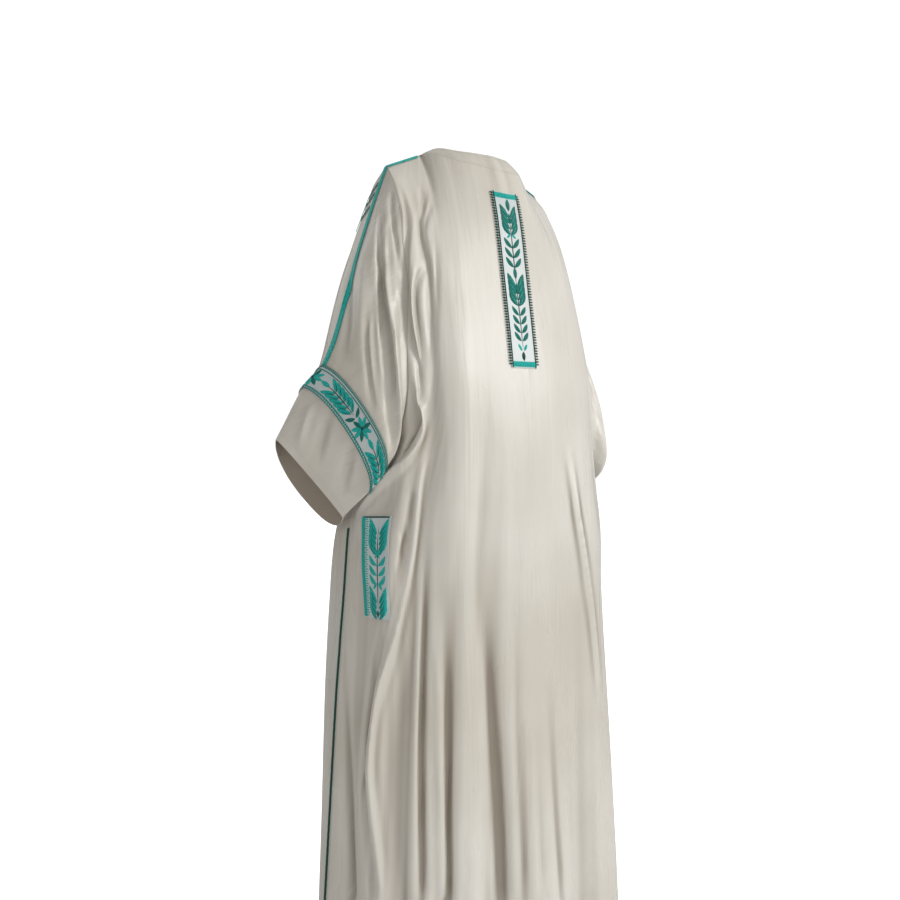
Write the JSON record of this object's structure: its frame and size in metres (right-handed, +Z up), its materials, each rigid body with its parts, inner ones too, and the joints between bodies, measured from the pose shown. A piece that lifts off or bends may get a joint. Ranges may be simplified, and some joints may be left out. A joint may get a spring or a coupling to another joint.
{
  "type": "abaya robe",
  "caption": "Full-length satin abaya with wide sleeves, worn pose kept hollow, with embroidered sleeve bands, back strip and side panel, teal overarm trim and side piping.",
  "frame": {"origin": "centre of the neck opening, level with the highest point of the neck edge, where the wearer's neck and shoulders hold the garment up", "axes": "+Z up along the hanging garment, -Y towards the wearer's front, +X towards the wearer's left"},
  "size_m": [0.6758, 0.4122, 1.4328],
  "materials": {
    "satin_cloth": "satin",
    "strip_ground": "satin",
    "teal_trim": "satin embroidery",
    "dark_teal_cord": "satin cord"
  },
  "bodies": {
    "root": {"back": "satin_cloth", "front_left": "satin_cloth", "front_right": "satin_cloth", "neckband": "satin_cloth", "sleeve_left": "satin_cloth", "sleeve_right": "satin_cloth", "band_left": "strip_ground", "band_right": "strip_ground", "overarm_trim_left": "teal_trim", "overarm_trim_right": "teal_trim", "shoulder_stripe_left_1": "dark_teal_cord", "shoulder_stripe_left_2": "dark_teal_cord", "shoulder_stripe_left_3": "dark_teal_cord", "shoulder_stripe_right_1": "dark_teal_cord", "shoulder_stripe_right_2": "dark_teal_cord", "shoulder_stripe_right_3": "dark_teal_cord", "back_strip": "strip_ground", "side_panel_left": "strip_ground", "side_piping_left": "dark_teal_cord", "side_piping_right": "dark_teal_cord"}
  },
  "joints": []
}
